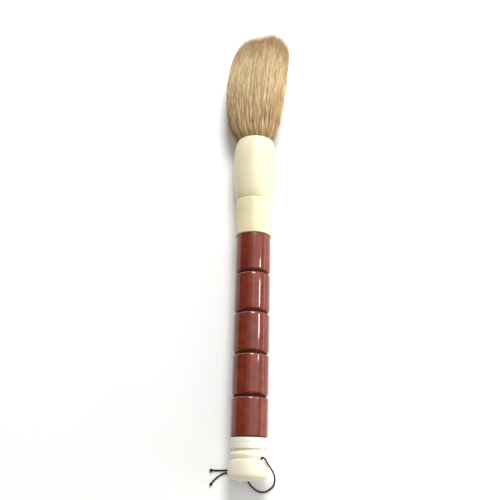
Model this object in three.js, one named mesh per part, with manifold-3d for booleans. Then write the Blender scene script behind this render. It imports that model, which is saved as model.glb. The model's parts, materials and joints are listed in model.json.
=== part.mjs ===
// Bead-handled calligraphy brush, lying on a table.
//
// Millimetres, +Z up. The brush points along +Y: tail end low in Y, hair tip high in Y. It rests on
// the belly of its cup, on the flattened underside of its hair and, under its end cap, on its own
// cord, so its axis climbs slightly towards the tip. The origin is the middle of the brush on the
// table, its hanging cord left out of account.
//
// Along the handle everything is measured as a distance from the flat tail face ("station").

import * as THREE from 'three';
import { mergeVertices } from 'three/addons/utils/BufferGeometryUtils.js';
import Module from 'manifold-3d';

// ---- Driving dimensions ------------------------------------------------------------------------

const BEAD_RADIUS = 12;
const BEAD_PITCHES = [27.5, 27.9, 27.9, 28, 25.9]; // bead_1 under the collar to bead_5 at the tail
const BEAD_ROUNDING = 2.2; // rounded ends where two beads meet
const BEAD_SQUARE_EDGE = 0.5; // the two ends that butt against the cream fittings
const SEAM = 0.9; // space between neighbours, which holds a thin cement disc
const CEMENT_THICKNESS = 0.3;
const CEMENT_RADIUS = 10.9;

const ROD_RADIUS = 4;
const FIT = 0.3; // clearance of every glued fit

const TAIL_FITTING = 26.7; // tail face to the first bead
const CAP_RADIUS = 13.3;
const CAP_SHOULDER = 12.6; // station of the cap's upper shoulder
const CROSS_HOLE_STATION = 13.7;
const CROSS_HOLE_RADIUS = 1.1;
const CROSS_HOLE_ANGLE = THREE.MathUtils.degToRad(46); // from straight up, towards +X
const TAIL_COLLAR_START = 19.3;
const TAIL_COLLAR_RADIUS = 12.05;
const SPIGOT_RADIUS = 7;

const COLLAR_LENGTH = 27.4;
const COLLAR_RADIUS = 12.9;
const CUP_LENGTH = 47.1;
const CUP_RADIUS = 15.7;
const CUP_BELLY = 29.5; // belly above the cup's foot
const MOUTH_RADIUS = 12.6;
const CUP_FLOOR = 18.7; // inside depth starts here above the cup's foot

const TUFT_LENGTH = 92.4; // hair standing out of the cup
const BEND_CLEARANCE = THREE.MathUtils.degToRad(27); // hair stays above this, so that it can bend 25
const TUFT_TIP_SLANT = 0.25; // the blunt tip runs back towards -X

const CORD_RADIUS = 0.55;
const CORD_LIFT = 1.3; // space under the end cap, where the cord lies
const CORD_SIDES = 8;

const TURN_SEGMENTS = 36;
const SMALL_SEGMENTS = 24;
const CURVE_STEPS = 4;

// ---- Stations worked out from them -------------------------------------------------------------

const BEADS_LENGTH = BEAD_PITCHES.reduce((sum, pitch) => sum + pitch, 0);
const COLLAR_START = TAIL_FITTING + BEADS_LENGTH;
const CUP_START = COLLAR_START + COLLAR_LENGTH;
const MOUTH = CUP_START + CUP_LENGTH;
const BELLY = CUP_START + CUP_BELLY;
const CAP_WIDEST = 7.5;

// The cup touches the table and the cap lies on the cord, which sets the axis's slope and height.
const SLOPE = Math.atan((CUP_RADIUS - CAP_RADIUS - CORD_LIFT) / (BELLY - CAP_WIDEST));
const AXIS_HEIGHT = CUP_RADIUS * Math.cos(SLOPE) - BELLY * Math.sin(SLOPE);
const tableBelowAxis = (station) => AXIS_HEIGHT / Math.cos(SLOPE) + station * Math.tan(SLOPE);

// ---- Materials ---------------------------------------------------------------------------------

function finish(color, roughness) {
  return new THREE.MeshStandardMaterial({ color, roughness, metalness: 0 });
}

const jasper = finish(0x7b3323, 0.15);
const bone = finish(0xefe7c8, 0.3);
const paleBone = finish(0xf4efda, 0.35);
const cement = finish(0x2a1712, 0.7);
const dowelWood = finish(0xc9a46b, 0.7);
const coverHair = finish(0xc8a56c, 0.9);
const coreHair = finish(0xa98252, 0.9);
const rosin = finish(0x6b3f17, 0.4);
const thread = finish(0xe6dcc4, 0.8);
const cordBlack = finish(0x1a1410, 0.8);

// ---- Building blocks ---------------------------------------------------------------------------

const wasm = await Module();
wasm.setup();

/** Adds one named piece to a group, at a station along the brush. */
function place(group, name, geometry, material, station = 0) {
  const mesh = new THREE.Mesh(geometry, material);
  mesh.name = name;
  mesh.position.y = station;
  group.add(mesh);
  return mesh;
}

/** A body turned about Y. The outline runs up its outside and down its inside. */
function turned(outline, segments = TURN_SEGMENTS) {
  return new THREE.LatheGeometry(outline.getPoints(CURVE_STEPS), segments);
}

/** A plain cylinder or ring between two heights, with an optional bore. */
function ring(radius, low, high, bore = 0, segments = SMALL_SEGMENTS) {
  const outline = new THREE.Path();
  outline.moveTo(bore, low);
  outline.lineTo(radius, low);
  outline.lineTo(radius, high);
  outline.lineTo(bore, high);
  if (bore > 0) outline.closePath();
  return turned(outline, segments);
}

/** Turns a closed geometry into a solid that can be cut. */
function toSolid(geometry) {
  const bare = geometry.clone();
  bare.deleteAttribute('normal');
  bare.deleteAttribute('uv');
  const merged = mergeVertices(bare, 1e-4);
  return new wasm.Manifold(new wasm.Mesh({
    numProp: 3,
    vertProperties: new Float32Array(merged.getAttribute('position').array),
    triVerts: new Uint32Array(merged.getIndex().array),
  }));
}

/** Turns a solid back into a geometry. */
function toGeometry(solid) {
  const { vertProperties, triVerts } = solid.getMesh();
  const geometry = new THREE.BufferGeometry();
  geometry.setAttribute('position', new THREE.BufferAttribute(vertProperties, 3));
  geometry.setIndex(new THREE.BufferAttribute(triVerts, 1));
  geometry.computeVertexNormals();
  return geometry;
}

// ---- Tail: end cap with its cross hole, and tail collar ----------------------------------------

/** Domed end cap with waist, ring and glued spigot, turned in one piece, and the rod's bore. */
function endCap() {
  const faceRadius = 5.5;
  const waistRadius = 11.3;
  const ringRadius = 12.45;
  const grooveRadius = 10.7;
  const spigotEnd = TAIL_COLLAR_START + 5.6;
  const boreFloor = TAIL_COLLAR_START - 1.8;

  const outline = new THREE.Path();
  outline.moveTo(0, 0);
  outline.lineTo(faceRadius, 0);
  outline.quadraticCurveTo(8.8, 0.35, 11.9, 2);
  outline.quadraticCurveTo(CAP_RADIUS - 0.1, 2.8, CAP_RADIUS - 0.05, 4.8);
  outline.lineTo(CAP_RADIUS, CAP_WIDEST);
  outline.lineTo(CAP_RADIUS - 0.4, CAP_SHOULDER - 0.4);
  outline.quadraticCurveTo(CAP_RADIUS - 0.45, CAP_SHOULDER, CAP_RADIUS - 0.9, CAP_SHOULDER);
  outline.quadraticCurveTo(waistRadius, CAP_SHOULDER, waistRadius, CAP_SHOULDER + 0.6);
  outline.quadraticCurveTo(ringRadius - 0.15, 14.6, ringRadius, 15.7);
  outline.quadraticCurveTo(ringRadius, 17.4, ringRadius - 1, 17.6);
  outline.lineTo(grooveRadius, 17.8);
  outline.lineTo(grooveRadius, TAIL_COLLAR_START);
  outline.lineTo(SPIGOT_RADIUS, TAIL_COLLAR_START);
  outline.lineTo(SPIGOT_RADIUS, spigotEnd);
  outline.lineTo(ROD_RADIUS + FIT, spigotEnd);
  outline.lineTo(ROD_RADIUS + FIT, boreFloor);
  outline.lineTo(0, boreFloor);

  const drill = new THREE.CylinderGeometry(CROSS_HOLE_RADIUS, CROSS_HOLE_RADIUS, 4 * CAP_RADIUS, 16);
  drill.rotateX(Math.PI / 2);
  drill.rotateY(CROSS_HOLE_ANGLE);
  drill.translate(0, CROSS_HOLE_STATION, 0);
  return toGeometry(toSolid(turned(outline)).subtract(toSolid(drill)));
}

/** Cream ring between the end cap and the last bead, with one engraved line round it. */
function tailCollar() {
  const low = FIT;
  const high = TAIL_FITTING - TAIL_COLLAR_START - FIT;
  const line = 3.9;
  const lineDepth = 0.2;

  const outline = new THREE.Path();
  outline.moveTo(SPIGOT_RADIUS + FIT, low);
  outline.lineTo(TAIL_COLLAR_RADIUS - 0.7, low);
  outline.quadraticCurveTo(TAIL_COLLAR_RADIUS, low, TAIL_COLLAR_RADIUS, low + 0.8);
  outline.lineTo(TAIL_COLLAR_RADIUS, line - 0.3);
  outline.lineTo(TAIL_COLLAR_RADIUS - lineDepth, line);
  outline.lineTo(TAIL_COLLAR_RADIUS, line + 0.3);
  outline.lineTo(TAIL_COLLAR_RADIUS, high - 0.3);
  outline.lineTo(TAIL_COLLAR_RADIUS - 0.3, high);
  outline.lineTo(SPIGOT_RADIUS + FIT, high);
  outline.closePath();
  return turned(outline);
}

// ---- Handle: rod, beads and cement -------------------------------------------------------------

/** Cylindrical bead bored for the rod, its ends rounded off by their own amounts. */
function bead(pitch, lowRounding, highRounding) {
  const low = SEAM / 2;
  const high = pitch - SEAM / 2;
  const bore = ROD_RADIUS + FIT;

  const outline = new THREE.Path();
  outline.moveTo(bore, low);
  outline.lineTo(BEAD_RADIUS - lowRounding, low);
  outline.quadraticCurveTo(BEAD_RADIUS, low, BEAD_RADIUS, low + lowRounding);
  outline.lineTo(BEAD_RADIUS, high - highRounding);
  outline.quadraticCurveTo(BEAD_RADIUS, high, BEAD_RADIUS - highRounding, high);
  outline.lineTo(bore, high);
  outline.closePath();
  return turned(outline);
}

/** Strings the beads from the collar down to the tail, with a cement disc in every seam. */
function addBeads(group) {
  let station = COLLAR_START;
  const last = BEAD_PITCHES.length - 1;
  const half = CEMENT_THICKNESS / 2;
  BEAD_PITCHES.forEach((pitch, index) => {
    const seam = ring(CEMENT_RADIUS, -half, half, ROD_RADIUS + FIT);
    place(group, `cement_${index + 1}`, seam, cement, station);
    station -= pitch;
    const low = index === last ? BEAD_SQUARE_EDGE : BEAD_ROUNDING;
    const high = index === 0 ? BEAD_SQUARE_EDGE : BEAD_ROUNDING;
    place(group, `bead_${index + 1}`, bead(pitch, low, high), jasper, station);
  });
  const tailSeam = ring(CEMENT_RADIUS, -half, half, ROD_RADIUS + FIT);
  place(group, `cement_${BEAD_PITCHES.length + 1}`, tailSeam, cement, TAIL_FITTING);
}

/** Dowel from the end cap's blind bore to the blind bore in the cup's foot. */
function coreRod() {
  const low = TAIL_COLLAR_START - 1.8 + FIT;
  const high = CUP_START + 12 - FIT;
  return ring(ROD_RADIUS, low, high);
}

// ---- Head: collar and cup ----------------------------------------------------------------------

/** Cream collar between the first bead and the cup, counterbored for the cup's spigot. */
function ferruleCollar() {
  const low = SEAM / 2;
  const high = COLLAR_LENGTH - FIT / 2;
  const counterbore = COLLAR_LENGTH - 7;

  const outline = new THREE.Path();
  outline.moveTo(ROD_RADIUS + FIT, low);
  outline.lineTo(COLLAR_RADIUS - 0.4, low);
  outline.lineTo(COLLAR_RADIUS, low + 0.4);
  outline.lineTo(COLLAR_RADIUS, high - 1.8);
  outline.quadraticCurveTo(COLLAR_RADIUS, high - 0.5, COLLAR_RADIUS - 0.9, high);
  outline.lineTo(SPIGOT_RADIUS + FIT, high);
  outline.lineTo(SPIGOT_RADIUS + FIT, counterbore);
  outline.lineTo(ROD_RADIUS + FIT, counterbore);
  outline.closePath();
  return turned(outline);
}

/** Barrel-shaped cup that holds the hair, with a spigot below and a thin rounded lip. */
function ferruleCup() {
  const foot = FIT / 2;
  const spigotLow = -6.5;
  const rodBoreTop = 12;
  const lip = CUP_LENGTH;

  const outline = new THREE.Path();
  outline.moveTo(0, rodBoreTop);
  outline.lineTo(ROD_RADIUS + FIT, rodBoreTop);
  outline.lineTo(ROD_RADIUS + FIT, spigotLow);
  outline.lineTo(SPIGOT_RADIUS, spigotLow);
  outline.lineTo(SPIGOT_RADIUS, foot);
  outline.lineTo(12, foot);
  outline.quadraticCurveTo(13.1, 2.4, 13.7, 5.4);
  outline.quadraticCurveTo(CUP_RADIUS, 16, CUP_RADIUS, CUP_BELLY);
  outline.quadraticCurveTo(CUP_RADIUS, 39, 14.6, 43.4);
  outline.quadraticCurveTo(13.8, lip - 0.1, MOUTH_RADIUS + 0.3, lip);
  outline.lineTo(MOUTH_RADIUS, lip - 0.4);
  outline.lineTo(10.6, CUP_FLOOR + 2);
  outline.lineTo(9.2, CUP_FLOOR);
  outline.lineTo(0, CUP_FLOOR);
  return turned(outline);
}

// ---- Hair set in the cup -----------------------------------------------------------------------

const ROOT_LOW = CUP_FLOOR + 3.6;
const ROOT_HIGH = CUP_LENGTH - 12.8;
const BINDING_LOW = ROOT_LOW + 3;
const BINDING_HIGH = BINDING_LOW + 4.2;
const BINDING_BORE = 9.2;

/** Rosin poured in the bottom of the cup. */
function rosinPlug() {
  const outline = new THREE.Path();
  outline.moveTo(0, CUP_FLOOR + FIT);
  outline.lineTo(8.8, CUP_FLOOR + FIT);
  outline.lineTo(10.1, CUP_FLOOR + 2);
  outline.lineTo(10.1, ROOT_LOW - FIT);
  outline.lineTo(0, ROOT_LOW - FIT);
  return turned(outline, SMALL_SEGMENTS);
}

/** The glued root of the hair, drawn in where the thread binds it. */
function hairRoot() {
  const waist = BINDING_BORE - FIT;
  const outline = new THREE.Path();
  outline.moveTo(0, ROOT_LOW);
  outline.lineTo(9.6, ROOT_LOW);
  outline.lineTo(10.1, ROOT_LOW + 1.5);
  outline.lineTo(waist, BINDING_LOW - FIT);
  outline.lineTo(waist, BINDING_HIGH + FIT);
  outline.lineTo(10.8, BINDING_HIGH + 2);
  outline.lineTo(11.2, ROOT_HIGH);
  outline.lineTo(0, ROOT_HIGH);
  return turned(outline, SMALL_SEGMENTS);
}

/** Turns of thread wound side by side round the root. */
function bindingThread() {
  const turns = 6;
  const height = (BINDING_HIGH - BINDING_LOW) / turns;
  const outline = new THREE.Path();
  outline.moveTo(BINDING_BORE, BINDING_LOW);
  outline.lineTo(BINDING_BORE + height, BINDING_LOW);
  for (let turn = 0; turn < turns; turn += 1) {
    const low = BINDING_LOW + turn * height;
    outline.lineTo(BINDING_BORE + height * 1.4, low + height / 2);
    outline.lineTo(BINDING_BORE + height, low + height);
  }
  outline.lineTo(BINDING_BORE, BINDING_HIGH);
  outline.closePath();
  return turned(outline, SMALL_SEGMENTS);
}

// ---- Hair tuft, which bends as one body from the mouth of the cup ------------------------------

// Distance beyond the mouth, left edge, right edge and half thickness of the fluffed-out hair.
const TUFT_STATIONS = [0, 6, 10, 18, 27, 40, 52, 64, 75, 92];
const TUFT_SECTIONS = [
  -13, 13, 12.8,
  -14.6, 14.6, 13.5,
  -18.7, 16.1, 14,
  -20.9, 17.7, 15.1,
  -22.2, 18.9, 15.9,
  -22.8, 20.8, 16.4,
  -22.2, 22.3, 16.4,
  -20.4, 23.6, 15.8,
  -17.9, 24.5, 14.6,
  -13.5, 25, 12.3,
];
const sections = new THREE.CubicInterpolant(TUFT_STATIONS, TUFT_SECTIONS, 3);

/** Swells a turned body of unit radius to the tuft's own sections, flattened by the table. */
function tuftShaped(outline, segments) {
  const geometry = turned(outline, segments);
  const at = geometry.getAttribute('position');
  for (let i = 0; i < at.count; i += 1) {
    const beyond = at.getY(i);
    const [left, right, thick] = sections.evaluate(beyond);
    const across = at.getX(i) * (right - left) / 2;
    const slant = TUFT_TIP_SLANT * THREE.MathUtils.smoothstep(beyond, 45, 92);
    const floor = 0.05 - tableBelowAxis(MOUTH + beyond);
    at.setX(i, across + (left + right) / 2);
    at.setY(i, beyond + slant * across);
    at.setZ(i, Math.max(at.getZ(i) * thick, floor));
  }
  return geometry;
}

const BALL_RADIUS = MOUTH_RADIUS - 0.4; // the hair's root turns in the mouth like a ball
const TUFT_SHOULDER = 70;
const TUFT_CROWN = TUFT_LENGTH - 3.4; // the slant lifts one side of the tip by the rest
const CORE_SHARE = 0.62; // of the tuft's width
const CORE_CROWN = 78;

/** A radius as a share of the tuft's half width at a distance beyond the mouth. */
function share(radius, beyond) {
  const [left, right] = sections.evaluate(beyond);
  return 2 * radius / (right - left);
}

/** Long outer hair: a shell over the core, open towards the cup. */
function coverHairs() {
  const inner = CORE_SHARE + 0.04;
  const skirt = 16 * Math.tan(BEND_CLEARANCE) + 0.4;
  const outline = new THREE.Path();
  outline.moveTo(0, CORE_CROWN + 1);
  outline.quadraticCurveTo(inner, CORE_CROWN + 1, inner, CORE_CROWN - 16);
  for (const beyond of [50, 35, 20]) outline.lineTo(inner, beyond);
  outline.lineTo(inner, skirt - 1.2);
  outline.lineTo(1, skirt);
  for (const beyond of [18, 27, 38, 50, 60]) outline.lineTo(1, beyond);
  outline.lineTo(1, TUFT_SHOULDER);
  outline.quadraticCurveTo(1, TUFT_CROWN, 0.55, TUFT_CROWN);
  outline.lineTo(0, TUFT_CROWN);
  return tuftShaped(outline, TURN_SEGMENTS);
}

/** Stiffer core hair inside the cover, with the ball-shaped root that sits in the cup's mouth. */
function coreHairs() {
  const outline = new THREE.Path();
  outline.moveTo(0, -BALL_RADIUS);
  for (let step = 1; step <= 6; step += 1) {
    const rise = THREE.MathUtils.lerp(-Math.PI / 2, BEND_CLEARANCE, step / 6);
    const beyond = BALL_RADIUS * Math.sin(rise);
    outline.lineTo(share(BALL_RADIUS * Math.cos(rise), beyond), beyond);
  }
  outline.lineTo(CORE_SHARE, BALL_RADIUS / 2);
  for (const beyond of [20, 35, 50]) outline.lineTo(CORE_SHARE, beyond);
  outline.lineTo(CORE_SHARE, CORE_CROWN - 18);
  outline.quadraticCurveTo(CORE_SHARE, CORE_CROWN, 0, CORE_CROWN);
  return tuftShaped(outline, SMALL_SEGMENTS);
}

// ---- Hanging cord ------------------------------------------------------------------------------

// Where the cord runs: distance from the brush axis, station and height above the table.
const LOOP_ROUTE = [
  [-11.1, 8.5, 2.3], [-11.3, 10.2, 3.1], [-10.9, 12, 4.1], [-9.7, 13.4, 5.4], [-8, 13.74, 6.9],
  [-4, 13.72, 10.8], [0, 13.7, 14.63], [4, 13.68, 18.5], [8.1, 13.7, 22.5], [9.1, 14.1, 23.7],
  [10.3, 13.2, 24.5], [12.1, 10.6, 22.1], [13.4, 9.1, 19.4], [14.1, 8.4, 16.4], [14.9, 7.4, 13.2],
  [15.9, 6.1, 9.5], [16.8, 4.4, 6], [17.3, 2.5, 3.6], [17.3, 0.5, 1.9], [16.5, -2.05, 0.85],
  [14.85, -3.8, 0.6], [12.3, -5.5, 0.6], [9.3, -6.1, 0.6], [6.3, -5.4, 0.6], [4.1, -4.05, 0.6],
  [2.2, -2.4, 0.6], [0.85, -0.65, 0.6], [-0.3, 0.7, 0.6], [-1.6, 2, 0.6], [-3.4, 3.2, 0.6],
  [-5.7, 4.2, 0.6], [-7.8, 4.9, 0.7], [-9, 5.3, 0.95],
];
const UPPER_TAIL_ROUTE = [
  [-12.7, 6.95, 1.1], [-14.3, 6.9, 0.75], [-16.5, 6.8, 0.6], [-19, 6.65, 0.6], [-22.8, 6.65, 0.65],
];
const LOWER_TAIL_ROUTE = [
  [-12.7, 5.3, 1.1], [-14.5, 5.2, 0.75], [-16.3, 4.65, 0.6], [-18.9, 3.2, 0.6], [-21.1, 1.7, 0.6],
  [-22.6, -0.1, 0.6], [-23.05, -0.75, 0.62],
];
const TIE_KNOT = { at: [-10.9, 6.1, 1.6], size: [1.4, 1.7, 1.5] };
const UPPER_END_KNOT = { at: [-24.2, 6.65, 1.05], size: [1.0, 1.25, 0.95] };
const LOWER_END_KNOT = { at: [-23.9, -2.1, 1.0], size: [1.0, 1.05, 0.9] };

/** A round cord along a route. */
function cordTube(route, steps) {
  const section = new THREE.Shape();
  for (let side = 0; side < CORD_SIDES; side += 1) {
    const turn = (side + 0.5) * 2 * Math.PI / CORD_SIDES;
    const point = [CORD_RADIUS * Math.cos(turn), CORD_RADIUS * Math.sin(turn)];
    if (side === 0) section.moveTo(...point);
    else section.lineTo(...point);
  }
  section.closePath();
  const extrudePath = new THREE.CatmullRomCurve3(route.map((point) => new THREE.Vector3(...point)));
  return new THREE.ExtrudeGeometry(section, { steps, extrudePath, bevelEnabled: false });
}

/** A tight round knot. */
function knot({ at, size }) {
  const geometry = new THREE.SphereGeometry(1, 12, 8);
  geometry.scale(...size);
  geometry.translate(...at);
  return geometry;
}

/** The whole cord: a loop through the cross hole, tied beside the cap, and its two short tails. */
function addCord(group) {
  place(group, 'hanging_cord', cordTube(LOOP_ROUTE, 64), cordBlack);
  place(group, 'cord_tail_upper', cordTube(UPPER_TAIL_ROUTE, 6), cordBlack);
  place(group, 'cord_tail_lower', cordTube(LOWER_TAIL_ROUTE, 8), cordBlack);
  place(group, 'cord_knot', knot(TIE_KNOT), cordBlack);
  place(group, 'cord_end_upper', knot(UPPER_END_KNOT), cordBlack);
  place(group, 'cord_end_lower', knot(LOWER_END_KNOT), cordBlack);
}

// ---- Assembly ----------------------------------------------------------------------------------

const brush = new THREE.Group();
brush.rotation.x = SLOPE;
brush.position.z = AXIS_HEIGHT;
place(brush, 'end_cap', endCap(), bone);
place(brush, 'tail_collar', tailCollar(), paleBone, TAIL_COLLAR_START);
place(brush, 'core_rod', coreRod(), dowelWood);
addBeads(brush);
place(brush, 'ferrule_collar', ferruleCollar(), bone, COLLAR_START);
place(brush, 'ferrule_cup', ferruleCup(), bone, CUP_START);
place(brush, 'rosin_plug', rosinPlug(), rosin, CUP_START);
place(brush, 'hair_root', hairRoot(), coreHair, CUP_START);
place(brush, 'binding_thread', bindingThread(), thread, CUP_START);
place(brush, 'core_hair', coreHairs(), coreHair, MOUTH);
place(brush, 'cover_hair', coverHairs(), coverHair, MOUTH);

const cord = new THREE.Group();
addCord(cord);

// The brush's own box, without the cord, is centred over the origin.
const box = new THREE.Box3().setFromObject(brush, true);
const object = new THREE.Group();
object.position.set(-(box.min.x + box.max.x) / 2, -(box.min.y + box.max.y) / 2, -box.min.z);
object.add(brush, cord);

const calligraphyBrush = new THREE.Group();
calligraphyBrush.add(object);

export default calligraphyBrush;
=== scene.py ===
"""Looks of a bead-handled calligraphy brush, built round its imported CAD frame.

The brush lies on a pale table with its hair towards +Y. Everything that is turned or drilled is
placed on the brush's own axis, which the frame gives: the tail face is a mount of the record, and
the mouth of the cup is where the hair's joint sits. Lengths are in millimetres until a mesh is
placed, and in metres from then on.
"""

from __future__ import annotations

import json
import logging
import math
from dataclasses import dataclass, field
from enum import Enum
from typing import Iterable, Mapping, Sequence

import bpy
import numpy as np
from mathutils import Matrix, Vector


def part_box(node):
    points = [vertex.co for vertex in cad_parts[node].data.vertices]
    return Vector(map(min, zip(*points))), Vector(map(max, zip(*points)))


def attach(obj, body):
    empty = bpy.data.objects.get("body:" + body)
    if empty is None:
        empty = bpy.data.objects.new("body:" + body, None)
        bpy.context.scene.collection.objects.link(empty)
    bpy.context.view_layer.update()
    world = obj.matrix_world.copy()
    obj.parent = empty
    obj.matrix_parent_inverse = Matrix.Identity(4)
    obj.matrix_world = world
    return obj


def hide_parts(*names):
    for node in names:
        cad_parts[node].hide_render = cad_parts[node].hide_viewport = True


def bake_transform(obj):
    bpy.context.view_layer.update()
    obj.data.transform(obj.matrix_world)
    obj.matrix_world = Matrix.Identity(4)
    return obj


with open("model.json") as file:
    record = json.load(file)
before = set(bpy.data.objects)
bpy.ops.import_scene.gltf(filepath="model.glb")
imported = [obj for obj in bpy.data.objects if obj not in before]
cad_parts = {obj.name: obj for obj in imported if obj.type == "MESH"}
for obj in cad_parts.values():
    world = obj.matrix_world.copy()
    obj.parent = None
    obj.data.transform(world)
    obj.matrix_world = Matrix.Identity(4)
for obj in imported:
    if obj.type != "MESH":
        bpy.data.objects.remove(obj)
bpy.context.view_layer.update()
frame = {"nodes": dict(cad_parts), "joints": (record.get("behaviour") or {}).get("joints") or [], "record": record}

MM = 0.001
HAIR_REACH_MM = 98.0  # the hair's "along" attribute runs from 0 at the mouth to 1 here
log = logging.getLogger("calligraphy_brush")

Colour = tuple[float, float, float, float]
Ring = tuple[float, float]  # radius and station of one ring of a turned piece, in mm


class Body(Enum):
    """The two bodies that the hair's joint connects."""

    HANDLE = "handle"
    TUFT = "tuft"


class Slot(Enum):
    """Material slots of the record."""

    JASPER = "red_jasper"
    CREAM = "cream_bone"
    PALE = "pale_bone"
    CEMENT = "dark_cement"
    DOWEL = "dowel_wood"
    COVER_HAIR = "cover_hair"
    CORE_HAIR = "core_hair"
    ROSIN = "rosin"
    THREAD = "binding_thread"
    CORD = "black_cord"


# ---- The brush's axis ---------------------------------------------------------------------------


@dataclass(frozen=True)
class NodeSpan:
    """Where a CAD node lies along the axis, in mm."""

    low: float
    high: float
    radius: float


@dataclass(frozen=True)
class BrushAxis:
    """The line through the middle of the handle, from the flat tail face towards the hair."""

    tail: Vector
    along: Vector
    mouth: float

    @classmethod
    def from_frame(cls) -> "BrushAxis":
        """Reads the axis from the record's tail mount and the hair's joint.

        Returns:
            The axis, with the mouth's distance from the tail face in mm.
        """
        mount = next(m for m in frame["record"]["mounts"] if m["name"] == "tail_face")
        joint = next(j for j in frame["joints"] if j["name"] == "tuft_bend")
        tail = Vector(mount["pos_m"])
        along = -Vector(mount["axis"]).normalized()
        mouth = (Vector(joint["pos_m"]) - tail).dot(along) / MM
        return cls(tail, along, mouth)

    @property
    def across(self) -> Vector:
        """Level direction to the right of the brush."""
        return Vector((1, 0, 0))

    @property
    def up(self) -> Vector:
        """Direction away from the table, square to the axis."""
        return self.across.cross(self.along)

    def turning(self) -> Matrix:
        """Matrix that takes a piece turned about Z, in mm from the tail face, to the brush."""
        columns = Matrix((self.across, -self.up, self.along)).transposed()
        return Matrix.Translation(self.tail) @ (columns * MM).to_4x4()

    def points(self, local: np.ndarray) -> np.ndarray:
        """Takes points given as across, station and up, in mm, to the row frame.

        Args:
            local: array of shape (n, 3).

        Returns:
            Array of shape (n, 3), in metres.
        """
        directions = np.array([self.across, self.along, self.up])
        return np.array(self.tail) + MM * local @ directions

    def point(self, across: float, station: float, up: float) -> Vector:
        """One point given as across, station and up, in mm."""
        return Vector(self.points(np.array([[across, station, up]]))[0])

    def height(self, station: float) -> float:
        """Height of the axis over the table at a station, measured square to the axis, in mm."""
        return (self.tail.z / MM + station * self.along.z) / self.along.y

    def span(self, node: str) -> NodeSpan:
        """Measures a CAD node along and round the axis.

        Args:
            node: name of the node.

        Returns:
            Its first and last station and its largest radius.
        """
        vertices = np.array([v.co for v in frame["nodes"][node].data.vertices])
        offsets = (vertices - np.array(self.tail)) / MM
        stations = offsets @ np.array(self.along)
        radii = np.linalg.norm(offsets - np.outer(stations, self.along), axis=1)
        return NodeSpan(float(stations.min()), float(stations.max()), float(radii.max()))


# ---- Shader helpers -----------------------------------------------------------------------------


def linear(code: str) -> Colour:
    """Turns an sRGB colour to the linear colour that a shader takes.

    Args:
        code: six hex digits.

    Returns:
        Linear red, green, blue and alpha.
    """
    channels = [int(code[i : i + 2], 16) / 255 for i in (0, 2, 4)]
    r, g, b = (c / 12.92 if c <= 0.04045 else ((c + 0.055) / 1.055) ** 2.4 for c in channels)
    return (r, g, b, 1.0)


def per_mm(size_mm: float) -> float:
    """Texture scale that gives a pattern of this size on coordinates in metres."""
    return 1 / (size_mm * MM)


def add_node(
    tree: bpy.types.NodeTree,
    kind: str,
    settings: Mapping[str | int, object] | None = None,
    links: Mapping[str | int, bpy.types.NodeSocket] | None = None,
) -> bpy.types.Node:
    """Adds a shader node with its settings and links.

    Args:
        tree: node tree that gets the node.
        kind: Blender's name for the node's type.
        settings: values by input name, input number or attribute; "stops" lists a ramp's stops as
            (position, colour).
        links: output sockets by the name or number of the input that they feed.

    Returns:
        The new node.
    """
    node = tree.nodes.new(kind)
    for name, value in (settings or {}).items():
        if name == "stops":
            elements = node.color_ramp.elements
            while len(elements) < len(value):
                elements.new(0.5)
            for element, (position, colour) in zip(elements, value):
                element.position = position
                element.color = colour
        elif isinstance(name, int) or name in node.inputs:
            node.inputs[name].default_value = value
        else:
            setattr(node, name, value)
    for name, source in (links or {}).items():
        tree.links.new(source, node.inputs[name])
    return node


def new_material(name: str) -> tuple[bpy.types.Material, bpy.types.NodeTree, bpy.types.Node]:
    """Makes a node material that holds only a Principled shader.

    Args:
        name: name of the material.

    Returns:
        The material, its node tree and its shader.
    """
    material = bpy.data.materials.new(name)
    material.use_nodes = True
    tree = material.node_tree
    tree.nodes.clear()
    shader = add_node(tree, "ShaderNodeBsdfPrincipled")
    add_node(tree, "ShaderNodeOutputMaterial", links={"Surface": shader.outputs["BSDF"]})
    return material, tree, shader


# ---- Finishes -----------------------------------------------------------------------------------


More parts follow.
